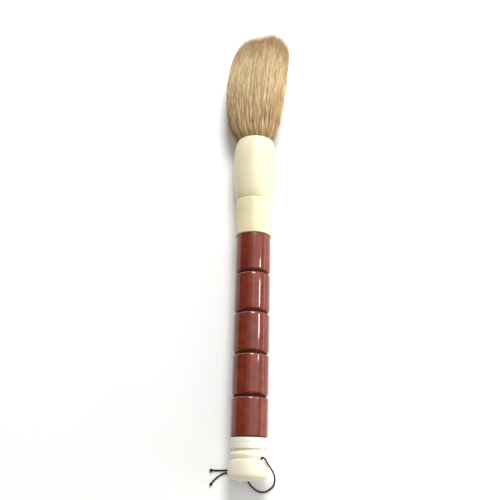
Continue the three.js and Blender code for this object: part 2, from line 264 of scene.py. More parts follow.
@dataclass(frozen=True)
class PolishedJasper:
    """Red jasper, ground and polished: opaque, iron-red, cloudy at close range, glassy face."""

    body_hex: str = "722917"
    deep_hex: str = "611f12"
    warm_hex: str = "80361f"
    cloud_mm: float = 9.0
    fleck_mm: float = 0.7
    fleck_share: float = 0.28
    polish_ripple_mm: float = 5.0
    roughness: float = 0.1
    ior: float = 1.54

    def build(self) -> bpy.types.Material:
        """Makes the material.

        Returns:
            Iron-red stone with soft clouds, small dark flecks and a hardly rippled face.
        """
        material, tree, shader = new_material("polished_red_jasper")
        place = add_node(tree, "ShaderNodeTexCoord").outputs["Object"]
        cloud_settings = {"Scale": per_mm(self.cloud_mm), "Detail": 5.0, "Roughness": 0.6, "Distortion": 0.8}
        clouds = add_node(tree, "ShaderNodeTexNoise", cloud_settings, {"Vector": place})
        tones = ((0.3, self.deep_hex), (0.5, self.body_hex), (0.72, self.warm_hex))
        stops = [(position, linear(code)) for position, code in tones]
        cloudy = add_node(tree, "ShaderNodeValToRGB", {"stops": stops}, {"Fac": clouds.outputs["Fac"]})
        fleck_settings = {"Scale": per_mm(self.fleck_mm), "Randomness": 1.0}
        flecks = add_node(tree, "ShaderNodeTexVoronoi", fleck_settings, {"Vector": place})
        fleck_share = add_node(
            tree, "ShaderNodeMapRange",
            {"From Min": 0.0, "From Max": 0.35, "To Min": self.fleck_share, "To Max": 0.0},
            {"Value": flecks.outputs["Distance"]},
        )
        colour = add_node(
            tree, "ShaderNodeMix", {"data_type": "RGBA", 7: linear(self.deep_hex)},
            {0: fleck_share.outputs["Result"], 6: cloudy.outputs["Color"]},
        )
        ripple_settings = {"Scale": per_mm(self.polish_ripple_mm), "Detail": 2.0}
        ripple = add_node(tree, "ShaderNodeTexNoise", ripple_settings, {"Vector": place})
        bump = add_node(
            tree, "ShaderNodeBump", {"Strength": 0.02, "Distance": 0.4 * MM},
            {"Height": ripple.outputs["Fac"]},
        )
        tree.links.new(colour.outputs[2], shader.inputs["Base Color"])
        tree.links.new(bump.outputs["Normal"], shader.inputs["Normal"])
        shader.inputs["Roughness"].default_value = self.roughness
        shader.inputs["IOR"].default_value = self.ior
        return material


@dataclass(frozen=True)
class TurnedBone:
    """Ox bone, turned and buffed: cream, fine pores drawn out along the grain, soft shine."""

    name: str
    body_hex: str
    warm_hex: str
    pore_hex: str
    pore_width_mm: float = 0.35
    pore_length_mm: float = 5.0
    tint_mm: float = 22.0
    turning_mark_mm: float = 3.77
    roughness: float = 0.36
    ior: float = 1.54

    def build(self) -> bpy.types.Material:
        """Makes the material.

        Returns:
            Cream bone that is a little translucent, with long pores and faint turning marks.
        """
        material, tree, shader = new_material(self.name)
        place = add_node(tree, "ShaderNodeTexCoord").outputs["Object"]
        tint_settings = {"Scale": per_mm(self.tint_mm), "Detail": 3.0, "Roughness": 0.5}
        tint = add_node(tree, "ShaderNodeTexNoise", tint_settings, {"Vector": place})
        stops = [(0.35, linear(self.warm_hex)), (0.6, linear(self.body_hex))]
        tinted = add_node(tree, "ShaderNodeValToRGB", {"stops": stops}, {"Fac": tint.outputs["Fac"]})
        across, along = per_mm(self.pore_width_mm), per_mm(self.pore_length_mm)
        grain = add_node(tree, "ShaderNodeMapping", {"Scale": (across, along, across)}, {"Vector": place})
        # The real pores are under a tenth of a millimetre wide; these are drawn coarser to show.
        pores = add_node(
            tree, "ShaderNodeTexNoise", {"Scale": 1.0, "Detail": 3.0, "Roughness": 0.7},
            {"Vector": grain.outputs["Vector"]},
        )
        pore_share = add_node(
            tree, "ShaderNodeMapRange",
            {"From Min": 0.56, "From Max": 0.78, "To Min": 0.0, "To Max": 0.45},
            {"Value": pores.outputs["Fac"]},
        )
        colour = add_node(
            tree, "ShaderNodeMix", {"data_type": "RGBA", 7: linear(self.pore_hex)},
            {0: pore_share.outputs["Result"], 6: tinted.outputs["Color"]},
        )
        # A wave texture's phase turns through 20 radians over its unit length.
        bands = per_mm(self.turning_mark_mm) * 2 * math.pi / 20
        marks = add_node(
            tree, "ShaderNodeTexWave",
            {"bands_direction": "Y", "Scale": bands, "Distortion": 1.5, "Detail": 2.0},
            {"Vector": place},
        )
        bump = add_node(
            tree, "ShaderNodeBump", {"Strength": 0.12, "Distance": 0.05 * MM},
            {"Height": marks.outputs["Fac"]},
        )
        tree.links.new(colour.outputs[2], shader.inputs["Base Color"])
        tree.links.new(bump.outputs["Normal"], shader.inputs["Normal"])
        shader.inputs["Roughness"].default_value = self.roughness
        shader.inputs["IOR"].default_value = self.ior
        shader.inputs["Specular IOR Level"].default_value = 0.35
        shader.inputs["Subsurface Weight"].default_value = 0.15
        shader.inputs["Subsurface Radius"].default_value = (1.0, 0.7, 0.4)
        shader.inputs["Subsurface Scale"].default_value = 1.5 * MM
        return material


@dataclass(frozen=True)
class GoatHair:
    """Natural goat hair, washed and bundled: silky strands, dark at the root, tanned at the tip; painted shade
    darkens the gaps between locks near the root.
    """

    name: str
    root_hex: str
    mid_hex: str
    tip_hex: str
    # Colour of the darkest strands, also used as painted shade between locks near the root.
    dark_strand_and_shade_hex: str
    light_hex: str
    streak_mm: float = 8.0
    streaks_across: float = 400.0
    strand_part: float = 0.72  # how much a strand's own tone counts
    streak_part: float = 0.72  # how much the streaks of its lock count
    roughness: float = 0.5

    def build(self) -> bpy.types.Material:
        """Makes the material, which reads the strands' own attributes.

        Returns:
            Golden hair whose strands differ in tone, with painted shade in the gaps between locks, deepest at the
            root.
        """
        material, tree, shader = new_material(self.name)
        along, tone, lock = (
            add_node(tree, "ShaderNodeAttribute", {"attribute_name": name}).outputs["Fac"]
            for name in ("along", "tone", "lock")
        )
        tones = ((0.18, self.root_hex), (0.45, self.mid_hex), (0.62, self.mid_hex), (0.83, self.tip_hex))
        stops = [(position, linear(code)) for position, code in tones]
        by_length = add_node(tree, "ShaderNodeValToRGB", {"stops": stops}, {"Fac": along})
        # Streaks run along each lock: its own number places it in the pattern.
        streak_place = add_node(tree, "ShaderNodeCombineXYZ", links={"X": along, "Y": lock})
        stretched = add_node(
            tree, "ShaderNodeVectorMath",
            {"operation": "MULTIPLY", 1: (HAIR_REACH_MM / self.streak_mm, self.streaks_across, 1.0)},
            {0: streak_place.outputs["Vector"]},
        )
        streaks = add_node(
            tree, "ShaderNodeTexNoise", {"Scale": 1.0, "Detail": 1.0, "Roughness": 0.5},
            {"Vector": stretched.outputs["Vector"]},
        )
        strand_part, streak_part = (
            add_node(tree, "ShaderNodeMath", {"operation": "MULTIPLY", 1: part}, {0: source})
            for part, source in ((self.strand_part, tone), (self.streak_part, streaks.outputs["Fac"]))
        )
        mixed = add_node(
            tree, "ShaderNodeMath", {"operation": "ADD"},
            {0: strand_part.outputs["Value"], 1: streak_part.outputs["Value"]},
        )
        darkness = add_node(
            tree, "ShaderNodeMapRange",
            {"From Min": 0.68, "From Max": 0.36, "To Min": 0.0, "To Max": 1.0},
            {"Value": mixed.outputs["Value"]},
        )
        # Painted shade: more of the dark strand colour is mixed in towards the root, standing in for the shade in
        # the gaps between locks.
        root_gap_shade = add_node(
            tree, "ShaderNodeMapRange",
            {"From Min": 0.0, "From Max": 0.45, "To Min": 1.0, "To Max": 0.6},
            {"Value": along},
        )
        dark_share = add_node(
            tree, "ShaderNodeMath", {"operation": "MULTIPLY"},
            {0: darkness.outputs["Result"], 1: root_gap_shade.outputs["Result"]},
        )
        # Painted shade: the dark strand colour, mixed in by random tone and deepened towards the root.
        darker = add_node(
            tree, "ShaderNodeMix", {"data_type": "RGBA", 7: linear(self.dark_strand_and_shade_hex)},
            {0: dark_share.outputs["Value"], 6: by_length.outputs["Color"]},
        )
        lightness = add_node(
            tree, "ShaderNodeMapRange",
            {"From Min": 0.76, "From Max": 1.06, "To Min": 0.0, "To Max": 0.8},
            {"Value": mixed.outputs["Value"]},
        )
        lighter = add_node(
            tree, "ShaderNodeMix", {"data_type": "RGBA", 7: linear(self.light_hex)},
            {0: lightness.outputs["Result"], 6: darker.outputs[2]},
        )
        tree.links.new(lighter.outputs[2], shader.inputs["Base Color"])
        shader.inputs["Roughness"].default_value = self.roughness
        shader.inputs["IOR"].default_value = 1.55
        shader.inputs["Specular IOR Level"].default_value = 0.35
        shader.inputs["Sheen Weight"].default_value = 0.15
        shader.inputs["Sheen Roughness"].default_value = 0.4
        return material


@dataclass(frozen=True)
class TwistedCord:
    """Polyester cord, twisted from three plies and waxed: near black, dull, grooves round it."""

    body_hex: str = "080504"
    ridge_hex: str = "17100c"
    fibre_mm: float = 0.12
    roughness: float = 0.6

    def build(self) -> bpy.types.Material:
        """Makes the material.

        Returns:
            Near-black thread with fine fibres that catch a little light.
        """
        material, tree, shader = new_material("waxed_black_cord")
        place = add_node(tree, "ShaderNodeTexCoord").outputs["Object"]
        fibre_settings = {"Scale": per_mm(self.fibre_mm), "Detail": 2.0}
        fibres = add_node(tree, "ShaderNodeTexNoise", fibre_settings, {"Vector": place})
        stops = [(0.4, linear(self.body_hex)), (0.75, linear(self.ridge_hex))]
        colour = add_node(tree, "ShaderNodeValToRGB", {"stops": stops}, {"Fac": fibres.outputs["Fac"]})
        bump = add_node(
            tree, "ShaderNodeBump", {"Strength": 0.4, "Distance": 0.05 * MM},
            {"Height": fibres.outputs["Fac"]},
        )
        tree.links.new(colour.outputs["Color"], shader.inputs["Base Color"])
        tree.links.new(bump.outputs["Normal"], shader.inputs["Normal"])
        shader.inputs["Roughness"].default_value = self.roughness
        shader.inputs["Specular IOR Level"].default_value = 0.2
        return material


@dataclass(frozen=True)
class GrainedSolid:
    """A plain inner material, dull, whose tone varies in one drawn-out grain."""

    name: str
    dark_hex: str
    light_hex: str
    width_mm: float
    length_mm: float
    roughness: float
    bump: float = 0.3

    def build(self) -> bpy.types.Material:
        """Makes the material.

        Returns:
            A two-tone solid with its grain along the brush.
        """
        material, tree, shader = new_material(self.name)
        place = add_node(tree, "ShaderNodeTexCoord").outputs["Object"]
        across, along = per_mm(self.width_mm), per_mm(self.length_mm)
        drawn = add_node(tree, "ShaderNodeMapping", {"Scale": (across, along, across)}, {"Vector": place})
        grain = add_node(
            tree, "ShaderNodeTexNoise", {"Scale": 1.0, "Detail": 4.0, "Roughness": 0.6},
            {"Vector": drawn.outputs["Vector"]},
        )
        stops = [(0.3, linear(self.dark_hex)), (0.7, linear(self.light_hex))]
        colour = add_node(tree, "ShaderNodeValToRGB", {"stops": stops}, {"Fac": grain.outputs["Fac"]})
        bump = add_node(
            tree, "ShaderNodeBump", {"Strength": self.bump, "Distance": 0.1 * MM},
            {"Height": grain.outputs["Fac"]},
        )
        tree.links.new(colour.outputs["Color"], shader.inputs["Base Color"])
        tree.links.new(bump.outputs["Normal"], shader.inputs["Normal"])
        shader.inputs["Roughness"].default_value = self.roughness
        return material


# ---- Modelling helpers --------------------------------------------------------------------------


def deselect_everything() -> None:
    """Leaves nothing selected, so that an operator acts on the new piece only."""
    for obj in bpy.context.selected_objects:
        obj.select_set(False)


def curve_points(start: Ring, corner: Ring, end: Ring, steps: int) -> list[Ring]:
    """Rings on a curve that leaves start towards corner and arrives at end from it.

    Args:
        start: ring before the curve, which isn't repeated.
        corner: the sharp corner that the curve rounds off.
        end: last ring of the curve.
        steps: how many rings to give.

    Returns:
        The rings after start, the last one being end.
    """
    rings = []
    for step in range(1, steps + 1):
        t = step / steps
        weights = ((1 - t) ** 2, 2 * t * (1 - t), t * t)
        rings.append(
            tuple(sum(w * p[k] for w, p in zip(weights, (start, corner, end))) for k in (0, 1))
        )
    return rings


def straight_points(start: Ring, end: Ring, steps: int) -> list[Ring]:
    """Rings evenly spaced on a straight.

    Args:
        start: ring before the straight, which isn't repeated.
        end: last ring of the straight.
        steps: how many rings to give.

    Returns:
        The rings after start, the last one being end.
    """
    return [
        (start[0] + (end[0] - start[0]) * k / steps, start[1] + (end[1] - start[1]) * k / steps)
        for k in range(1, steps + 1)
    ]


def turn(name: str, outline: Sequence[Ring], axis: BrushAxis, sides: int) -> bpy.types.Object:
    """Turns a closed body on the brush's axis by extruding ring after ring.

    Args:
        name: name of the new piece.
        outline: rings up the outside and, on a bored piece, back down the bore.
        axis: the brush's axis.
        sides: how many sides the rings have.

    Returns:
        The new piece, placed in the row frame with its object at the origin.
    """
    deselect_everything()
    radius, station = outline[0]
    bpy.ops.mesh.primitive_circle_add(vertices=sides, radius=radius, location=(0, 0, station))
    piece = bpy.context.active_object
    piece.name = name
    bpy.ops.object.mode_set(mode="EDIT")
    bpy.ops.mesh.select_all(action="SELECT")
    for (r0, s0), (r1, s1) in zip(outline, outline[1:]):
        bpy.ops.mesh.extrude_edges_move(TRANSFORM_OT_translate={"value": (0, 0, s1 - s0)})
        bpy.ops.transform.resize(value=(r1 / r0, r1 / r0, 1), center_override=(0, 0, s1))
    bpy.ops.mesh.select_all(action="DESELECT")
    bpy.ops.mesh.select_non_manifold(extend=False)
    bored = outline[-1][1] < outline[-2][1]
    if bored:
        bpy.ops.mesh.bridge_edge_loops()
    else:
        bpy.ops.mesh.fill_holes(sides=0)
    bpy.ops.mesh.select_all(action="SELECT")
    bpy.ops.mesh.normals_make_consistent(inside=False)
    bpy.ops.object.mode_set(mode="OBJECT")
    bpy.ops.object.transform_apply(location=True, rotation=True, scale=True)
    piece.data.transform(axis.turning())
    bpy.ops.object.shade_smooth_by_angle(angle=math.radians(40))
    return piece


def mesh_piece(
    name: str,
    points: np.ndarray,
    faces: Sequence[Sequence[int]],
    attributes: Mapping[str, np.ndarray] | None = None,
) -> bpy.types.Object:
    """Makes a piece from points in the row frame.

    Args:
        name: name of the new piece.
        points: array of shape (n, 3), in metres.
        faces: point numbers of every face, anticlockwise seen from outside.
        attributes: one number per point, by the attribute's name.

    Returns:
        The new piece.
    """
    mesh = bpy.data.meshes.new(name)
    mesh.from_pydata(points.tolist(), [], faces)
    for label, values in (attributes or {}).items():
        layer = mesh.attributes.new(label, "FLOAT", "POINT")
        layer.data.foreach_set("value", values.reshape(-1).astype(np.float32))
    mesh.shade_smooth()
    piece = bpy.data.objects.new(name, mesh)
    bpy.context.scene.collection.objects.link(piece)
    return piece


def hand_over(
    piece: bpy.types.Object, nodes: Sequence[str], material: bpy.types.Material
) -> None:
    """Dresses a finished piece, hides the CAD nodes that it replaces and logs its face count.

    Args:
        piece: the finished piece.
        nodes: the CAD nodes that it replaces.
        material: its one material.
    """
    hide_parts(*nodes)
    piece.data.materials.clear()
    piece.data.materials.append(material)
    log.info("%s: %d faces", piece.name, len(piece.data.polygons))


def fit_to_handle(
    piece: bpy.types.Object, nodes: Sequence[str], material: bpy.types.Material
) -> None:
    """Hands over a piece that rides on the handle, with the same arguments."""
    hand_over(piece, nodes, material)
    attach(piece, Body.HANDLE.value)


# ---- Studio -------------------------------------------------------------------------------------


@dataclass(frozen=True)
class Viewpoint:
    """The camera, given from the brush's own axis: over the tail, looking up the brush."""

    lens_mm: float = 50.0
    sensor_mm: float = 36.0
    distance_mm: float = 488.7
    tilt_deg: float = 19.27
    roll_deg: float = 1.39
    station_mm: float = 154.56
    across_mm: float = -2.24

    def build(self, axis: BrushAxis) -> None:
        """Makes the camera and sets it as the scene's.

        Args:
            axis: the brush's axis.
        """
        tilt, roll = math.radians(self.tilt_deg), math.radians(self.roll_deg)
        forward = axis.along * math.sin(tilt) - axis.up * math.cos(tilt)
        level_right = forward.cross(axis.along).normalized()
        level_up = level_right.cross(forward)
        right = level_right * math.cos(roll) + level_up * math.sin(roll)
        upward = level_up * math.cos(roll) - level_right * math.sin(roll)
        target = axis.point(self.across_mm, self.station_mm, 0)
        data = bpy.data.cameras.new("camera")
        data.lens = self.lens_mm
        data.sensor_width = self.sensor_mm
        data.clip_start = 0.01
        camera = bpy.data.objects.new("camera", data)
        bpy.context.scene.collection.objects.link(camera)
        turned = Matrix((right, upward, -forward)).transposed().to_4x4()
        place = Matrix.Translation(target - forward * self.distance_mm * MM)
        camera.matrix_world = place @ turned
        bpy.context.scene.camera = camera


@dataclass(frozen=True)
class Softbox:
    """A rectangular studio light aimed at the middle of the brush."""

    name: str
    lean_deg: float  # from straight up, towards +X
    ahead_deg: float  # from straight up, towards the hair
    distance_mm: float
    width_mm: float  # across the brush
    length_mm: float  # along the brush
    brightness: float  # radiance, where the lit table has about 1
    lights: bool = True
    mirrored: bool = True

    def build(self) -> None:
        """Makes the light."""
        data = bpy.data.lights.new(self.name, "AREA")
        data.shape = "RECTANGLE"
        data.size = self.width_mm * MM
        data.size_y = self.length_mm * MM
        data.energy = self.brightness * math.pi * data.size * data.size_y
        light = bpy.data.objects.new(self.name, data)
        bpy.context.scene.collection.objects.link(light)
        lean, ahead = math.radians(self.lean_deg), math.radians(self.ahead_deg)
        away = Vector((math.tan(lean), math.tan(ahead), 1)).normalized()
        side = Vector((0, 1, 0)).cross(away).normalized()
        turned = Matrix((side, away.cross(side), away)).transposed().to_4x4()
        light.matrix_world = Matrix.Translation(away * self.distance_mm * MM) @ turned
        light.visible_camera = False
        light.visible_diffuse = self.lights
        light.visible_glossy = self.mirrored


@dataclass(frozen=True)
class Studio:
    """Pale table, dim surroundings and softboxes."""

    table_hex: str = "f4f4f2"
    table_side_m: float = 4.0
    room_brightness: float = 0.12
    glow_left_deg: tuple[float, ...] = (-30, -20, -10, 0, 10, 20)
    glow_right_deg: float = 54.0
    glow_ahead_deg: float = 15.0
    glow_distance_mm: float = 1500.0
    glow_length_mm: float = 1500.0
    glow_brightness: float = 0.26
    softboxes: tuple[Softbox, ...] = (
        Softbox("main_ahead", 7, 42, 1500, 530, 900, 15.0),
        Softbox("ceiling", 0, 0, 1500, 2400, 2400, 0.56, mirrored=False),
        Softbox("white_wall_right", 65, 10, 1500, 1000, 1500, 1.25, mirrored=False),
        Softbox("white_wall_low", 82, 10, 1500, 500, 1500, 5.5, mirrored=False),
        Softbox("white_wall_near", 15, -60, 1500, 1500, 1000, 0.7, mirrored=False),
        Softbox("window_right", 48, 15, 720, 70, 120, 32.0, lights=False),
        Softbox("bright_room_low", 70, 15, 1500, 800, 1500, 0.7, lights=False),
        Softbox("bright_room_ahead", 0, 72, 1500, 4000, 600, 2.8, lights=False),
        Softbox("strip_overhead", 8, 12, 1000, 70, 700, 1.5, lights=False),
        Softbox("low_right", 85.5, 10, 1000, 150, 1400, 2.4),
    )

    def bright_room(self) -> list[Softbox]:
        """Works out overlapping panels whose left edges step to the right.

        Returns:
            The panels, which show on the beads as one glow with a soft left edge.
        """
        panels = []
        for number, left_deg in enumerate(self.glow_left_deg):
            half = math.radians(self.glow_right_deg - left_deg) / 2
            middle_deg = (self.glow_right_deg + left_deg) / 2
            size_mm = (2 * self.glow_distance_mm * math.tan(half), self.glow_length_mm)
            place = (middle_deg, self.glow_ahead_deg, self.glow_distance_mm)
            name = f"bright_room_{number + 1}"
            panels.append(Softbox(name, *place, *size_mm, self.glow_brightness, lights=False))
        return panels

    def build(self) -> None:
        """Makes the table, the room and the lights."""
        scene = bpy.context.scene
        scene.view_settings.view_transform = "Standard"
        world = bpy.data.worlds.new("dim_room")
        world.use_nodes = True
        world.node_tree.nodes.clear()
        room = add_node(
            world.node_tree, "ShaderNodeBackground",
            {"Color": (1.0, 1.0, 1.0, 1.0), "Strength": self.room_brightness},
        )
        shown = {"Surface": room.outputs["Background"]}
        add_node(world.node_tree, "ShaderNodeOutputWorld", links=shown)
        scene.world = world
        for softbox in (*self.softboxes, *self.bright_room()):
            softbox.build()
        self.table()

    def table(self) -> None:
        """Makes the table top, matt white card that shows soft shadows and no shine."""
        deselect_everything()
        bpy.ops.mesh.primitive_plane_add(size=self.table_side_m, location=(0, 0, 0))
        top = bpy.context.active_object
        top.name = "table_top"
        material, _, shader = new_material("matt_white_card")
        shader.inputs["Base Color"].default_value = linear(self.table_hex)
        shader.inputs["Roughness"].default_value = 0.9
        shader.inputs["Specular IOR Level"].default_value = 0.2
        top.data.materials.append(material)


# ---- Hanging cord -------------------------------------------------------------------------------


def smooth_route(points: np.ndarray, per_span: int) -> np.ndarray:
    """Runs one smooth curve through a route's points, with no overshoot at uneven spacing.

    Args:
        points: array of shape (n, 3).
        per_span: how many steps each span between two points gets.

    Returns:
        Array of points on the curve, from the first point to the last.
    """
    ends = np.vstack([2 * points[0] - points[1], points, 2 * points[-1] - points[-2]])
    curve = []
    for p0, p1, p2, p3 in zip(ends, ends[1:], ends[2:], ends[3:]):
        d0, d1, d2 = (math.sqrt(np.linalg.norm(b - a)) for a, b in ((p0, p1), (p1, p2), (p2, p3)))
        t1 = ((p1 - p0) / d0 - (p2 - p0) / (d0 + d1) + (p2 - p1) / d1) * d1
        t2 = ((p2 - p1) / d1 - (p3 - p1) / (d1 + d2) + (p3 - p2) / d2) * d1
        for t in np.arange(per_span) / per_span:
            curve.append(
                (2 * t**3 - 3 * t**2 + 1) * p1
                + (t**3 - 2 * t**2 + t) * t1
                + (3 * t**2 - 2 * t**3) * p2
                + (t**3 - t**2) * t2
            )
    curve.append(points[-1])
    return np.array(curve)


@dataclass
class HangingCord:
    """The thin cord: threaded through the cross hole, tied beside the cap, ends knotted."""

    length_mm: float = 128.0
    diameter_mm: float = 1.1
    plies: int = 3
    ply_groove: float = 0.12  # how deep the groove between plies is, as a share of the radius
    twist_mm: float = 3.2  # length of one full twist
    sides: int = 15
    hole_left: tuple[float, float, float] = (-8.0, 13.74, 6.9)
    steps_per_span: int = 9
    # The three knots, each with the radius in mm of the cord that it is drawn with.
    knots: tuple[tuple[str, float], ...] = (
        ("cord_knot", 0.5), ("cord_end_upper", 0.38), ("cord_end_lower", 0.38),
    )
    # The whole route: distance to the right, station and height above the table.
    route: tuple[tuple[float, float, float], ...] = (
        (-24.4, 6.65, 0.9), (-19.0, 6.65, 0.6), (-14.3, 6.9, 0.75), (-12.7, 6.9, 1.1),
        (-11.5, 7.2, 1.6), (-11.1, 8.5, 2.3), (-11.3, 10.2, 3.1), (-10.9, 12.0, 4.1),
        (-9.7, 13.4, 5.4), (-8.0, 13.74, 6.9), (0.0, 13.7, 14.63), (8.1, 13.7, 22.5),
        (9.1, 14.1, 23.7), (10.3, 13.2, 24.5), (12.1, 10.6, 22.1), (13.4, 9.1, 19.4),
        (14.9, 7.4, 13.2), (15.9, 6.1, 9.5), (16.8, 4.4, 6.0), (17.3, 2.5, 3.6),
        (17.3, 0.5, 1.9), (16.5, -2.05, 0.85), (14.85, -3.8, 0.6), (12.3, -5.5, 0.6),
        (9.3, -6.1, 0.6), (6.3, -5.4, 0.6), (2.2, -2.4, 0.6), (-0.3, 0.7, 0.6),
        (-1.6, 2.0, 0.6), (-5.7, 4.2, 0.6), (-7.8, 4.9, 0.7), (-9.4, 5.4, 1.1),
        (-11.0, 5.5, 1.5), (-12.7, 5.3, 1.1), (-14.5, 5.2, 0.75), (-16.3, 4.65, 0.6),
        (-18.9, 3.2, 0.6), (-22.6, -0.1, 0.6), (-23.6, -1.6, 0.8),
    )

    def on_table(self, points: np.ndarray, axis: BrushAxis) -> np.ndarray:
        """Takes the route's points to the row frame."""
        return np.array([axis.tail.x, axis.tail.y, 0]) + MM * points

    def strand(self, name: str, path: np.ndarray, radius: float, closed: bool) -> bpy.types.Object:
        """Lays twisted plies along a path.

        Args:
            name: name of the piece.
            path: points of the centreline, in metres.
            radius: radius over the plies, in metres.
            closed: whether the last point joins the first.

        Returns:
            The new piece, a closed tube.
        """
        count = len(path)
        if closed:
            tangents = np.roll(path, -1, axis=0) - np.roll(path, 1, axis=0)
            steps = np.linalg.norm(np.roll(path, -1, axis=0) - path, axis=1)
            total = steps.sum()
            run = np.concatenate([[0], np.cumsum(steps)[:-1]])
            turns = round(total / (self.twist_mm * MM)) / total
        else:
            tangents = np.gradient(path, axis=0)
            run = np.concatenate([[0], np.cumsum(np.linalg.norm(np.diff(path, axis=0), axis=1))])
            turns = 1 / (self.twist_mm * MM)
        tangents /= np.linalg.norm(tangents, axis=1)[:, None]
        side = np.cross(tangents[0], (0.3, 0.2, 1.0))
        sides = []
        for tangent in tangents:
            side = side - tangent * side.dot(tangent)
            side /= np.linalg.norm(side)
            sides.append(side)
        sides = np.array(sides)
        others = np.cross(tangents, sides)
        angles = 2 * np.pi * np.arange(self.sides) / self.sides
        lobes = 1 - self.ply_groove * (1 - np.abs(np.cos(self.plies * angles / 2)))
        if closed:
            # The frame carried round a closed path comes back turned; the twist takes that up.
            back = np.arctan2(sides[-1] @ others[0], sides[-1] @ sides[0])
            offset = -back * run / run[-1]
        else:
            offset = np.zeros(count)
        turned = angles[None, :] + (2 * np.pi * turns * run + offset)[:, None]
        outwards = np.cos(turned)[..., None] * sides[:, None, :]
        outwards = outwards + np.sin(turned)[..., None] * others[:, None, :]
        rings = path[:, None, :] + radius * lobes[None, :, None] * outwards
        faces = []
        last = count if closed else count - 1
        for ring in range(last):
            here, there = ring * self.sides, (ring + 1) % count * self.sides
            for k in range(self.sides):
                following = (k + 1) % self.sides
                faces.append((here + k, here + following, there + following, there + k))
        if not closed:
            faces.append(tuple(reversed(range(self.sides))))
            faces.append(tuple(range((count - 1) * self.sides, count * self.sides)))
        return mesh_piece(name, rings.reshape(-1, 3), faces)

    def knot(self, node: str, radius_mm: float) -> bpy.types.Object:
        """Ties an overhand knot that fills the box of a CAD node.

        Args:
            node: name of the node.
            radius_mm: radius of the cord that the knot is tied in.

        Returns:
            The new piece, a closed ring of cord.
        """
        low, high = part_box(node)
        t = np.linspace(0, 2 * np.pi, 72, endpoint=False)
        loops = np.stack(
            [np.sin(t) + 2 * np.sin(2 * t), np.cos(t) - 2 * np.cos(2 * t), -np.sin(3 * t)], axis=1
        )
        reach = np.array([3.0, 3.0, 1.0])
        half = np.array((high - low) / 2) / MM - radius_mm
        path = np.array((low + high) / 2) + MM * loops / reach * half
        return self.strand(f"{node}_tied", path, radius_mm * MM, closed=True)

    def build(self, axis: BrushAxis) -> None:
        """Args:
            axis: the brush's axis.
        """
        finish = TwistedCord().build()
        path = self.on_table(smooth_route(np.array(self.route), self.steps_per_span), axis)
        cord = self.strand("cord_whole", path, self.diameter_mm * MM / 2, closed=False)
        fit_to_handle(cord, ("hanging_cord", "cord_tail_upper", "cord_tail_lower"), finish)
        knots = []
        for node, radius_mm in self.knots:
            knots.append(self.knot(node, radius_mm))
            fit_to_handle(knots[-1], (node,), finish)


# ---- Handle: beads ------------------------------------------------------------------------------


@dataclass
class BeadString:
    """Five polished beads on the rod, with a narrow seam at every end."""

    count: int = 5
    rounding_mm: float = 2.2
    square_edge_mm: float = 0.6
    bore_mm: float = 4.3
    seam_mm: float = 0.15
    sides: int = 128

    def outline(self, span: NodeSpan, low_round: float, high_round: float) -> list[Ring]:
        """Outline of one bead.

        Args:
            span: the bead's CAD size.
            low_round: rounding of the end nearer the tail, in mm.
            high_round: rounding of the end nearer the hair, in mm.

        Returns:
            Rings up the outside and down the bore.
        """
        r, low, high = span.radius, span.low, span.high
        rings = [(self.bore_mm, low), (r - low_round - 2, low), (r - low_round, low)]
        rings += curve_points(rings[-1], (r, low), (r, low + low_round), 8)
        rings += straight_points(rings[-1], (r, high - high_round), 3)
        rings += curve_points(rings[-1], (r, high), (r - high_round, high), 8)
        rings += [(r - high_round - 2, high), (self.bore_mm, high)]
        rings += [(self.bore_mm, (low + high) / 2)]
        return rings

    def reaching(self, span: NodeSpan, number: int) -> NodeSpan:
        """Lengthens the two end beads into their seams, which are narrower than the others.

        Args:
            span: a bead's CAD size.
            number: the bead's number, from 1 under the collar.

        Returns:
            The size that the bead is turned to.
        """
        low = span.low - (self.seam_mm if number == self.count else 0)
        high = span.high + (self.seam_mm if number == 1 else 0)
        return NodeSpan(low, high, span.radius)

    def build(self, axis: BrushAxis) -> None:
        """Makes the beads.

        Args:
            axis: the brush's axis.
        """
        jasper = PolishedJasper().build()
        for number in range(1, self.count + 1):
            node = f"bead_{number}"
            low_round = self.square_edge_mm if number == self.count else self.rounding_mm
            high_round = self.square_edge_mm if number == 1 else self.rounding_mm
            outline = self.outline(self.reaching(axis.span(node), number), low_round, high_round)
            bead = turn(f"{node}_polished", outline, axis, self.sides)
            fit_to_handle(bead, (node,), jasper)


# ---- Ferrule: collar and cup --------------------------------------------------------------------


